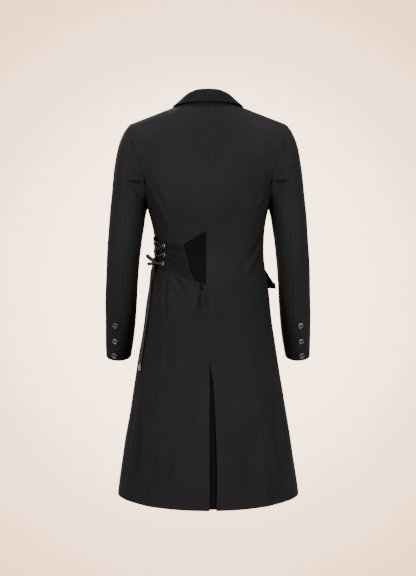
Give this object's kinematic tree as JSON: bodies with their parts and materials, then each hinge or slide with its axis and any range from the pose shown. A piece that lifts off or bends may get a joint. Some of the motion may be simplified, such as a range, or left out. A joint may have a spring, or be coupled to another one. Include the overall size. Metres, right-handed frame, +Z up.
{
  "type": "frock coat",
  "caption": "Long fitted frock coat with flared skirt, turned-down collar, back vent, laced waist tab with bow, pocket flaps and buttoned cuffs, filled out with no wearer.",
  "frame": {"origin": "the middle of the neck at the height where the wearer's shoulders carry the coat", "axes": "+Z up along the coat, -Y towards its front, +X towards its own left side, where the lacing is"},
  "size_m": [0.5758, 0.4034, 1.108],
  "materials": {
    "coat_cloth": "matt wool twill with a faint sheen",
    "tab_inset_cloth": "deep matt pile",
    "vent_cloth": "matt",
    "lace_satin": "satin",
    "eyelet_metal": "bright nickel",
    "button_gunmetal": "dark gunmetal, shiny"
  },
  "bodies": {
    "root": {"back_left": "coat_cloth", "back_right": "coat_cloth", "collar": "coat_cloth", "cuff_button_left_1": "button_gunmetal", "cuff_button_left_2": "button_gunmetal", "cuff_button_left_3": "button_gunmetal", "cuff_button_right_1": "button_gunmetal", "cuff_button_right_2": "button_gunmetal", "cuff_button_right_3": "button_gunmetal", "eyelet_back_1": "eyelet_metal", "eyelet_back_2": "eyelet_metal", "eyelet_back_3": "eyelet_metal", "eyelet_side_1": "eyelet_metal", "eyelet_side_2": "eyelet_metal", "eyelet_side_3": "eyelet_metal", "flap_button_left": "button_gunmetal", "flap_button_right": "button_gunmetal", "front_button_1": "button_gunmetal", "front_button_2": "button_gunmetal", "front_button_3": "button_gunmetal", "front_button_4": "button_gunmetal", "front_left": "coat_cloth", "front_right": "coat_cloth", "lace_end_1": "lace_satin", "lace_end_2": "lace_satin", "lace_knot": "lace_satin", "lace_lacing": "lace_satin", "lace_loop_down": "lace_satin", "lace_loop_up": "lace_satin", "lace_tip_1": "eyelet_metal", "lace_tip_2": "eyelet_metal", "lapel_left": "coat_cloth", "lapel_right": "coat_cloth", "pocket_flap_left": "coat_cloth", "pocket_flap_right": "coat_cloth", "side_back_left": "coat_cloth", "side_back_right": "coat_cloth", "side_tab": "coat_cloth", "tab_inset": "tab_inset_cloth", "under_sleeve_left": "coat_cloth", "under_sleeve_right": "coat_cloth", "upper_sleeve_left": "coat_cloth", "upper_sleeve_right": "coat_cloth", "vent_underlap": "vent_cloth", "waist_tab": "coat_cloth"}
  },
  "joints": []
}
